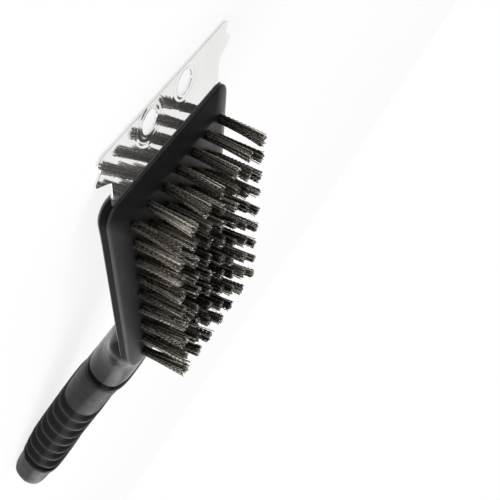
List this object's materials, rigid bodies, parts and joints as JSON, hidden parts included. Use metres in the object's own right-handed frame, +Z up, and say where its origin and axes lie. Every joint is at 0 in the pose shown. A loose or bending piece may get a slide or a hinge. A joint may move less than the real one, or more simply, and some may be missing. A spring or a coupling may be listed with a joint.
{
  "type": "grill brush",
  "caption": "Barbecue grill brush: rows of crimped steel wire tufts on a flat head, a forked steel scraper plate in front and a ribbed grip on a cranked handle.",
  "frame": {"origin": "centre of the bounding box's underside, on the table that the brush lies on with its bristles up", "axes": "+Y from the handle's end to the scraper, +Z up from the table, +X across the head"},
  "size_m": [0.0736, 0.2742, 0.0479],
  "materials": {
    "block_plastic": "satin moulded polypropylene",
    "cover_plastic": "semi-gloss moulded polypropylene",
    "blade_steel": "polished thin stainless sheet",
    "pin_steel": "plain drawn pins",
    "bristle_wire": "crimped steel wire, lightly oxidised",
    "anchor_steel": "cut flat wire",
    "ring_plastic": "gloss black",
    "core_plastic": "as moulded",
    "grip_rubber": "soft matt",
    "cap_plastic": "satin"
  },
  "bodies": {
    "root": {"bristle_block": "block_plastic", "back_cover": "cover_plastic", "scraper_blade": "blade_steel", "blade_pins": "pin_steel", "block_dowels": "block_plastic", "tuft_row_1": "bristle_wire", "tuft_row_2": "bristle_wire", "tuft_row_3": "bristle_wire", "tuft_row_4": "bristle_wire", "tuft_row_5": "bristle_wire", "tuft_row_6": "bristle_wire", "tuft_row_7": "bristle_wire", "tuft_row_8": "bristle_wire", "tuft_row_9": "bristle_wire", "anchor_row_1": "anchor_steel", "anchor_row_2": "anchor_steel", "anchor_row_3": "anchor_steel", "anchor_row_4": "anchor_steel", "anchor_row_5": "anchor_steel", "anchor_row_6": "anchor_steel", "anchor_row_7": "anchor_steel", "anchor_row_8": "anchor_steel", "anchor_row_9": "anchor_steel", "neck_ring": "ring_plastic", "handle_core": "core_plastic", "grip_sleeve": "grip_rubber", "end_cap": "cap_plastic"}
  },
  "joints": []
}
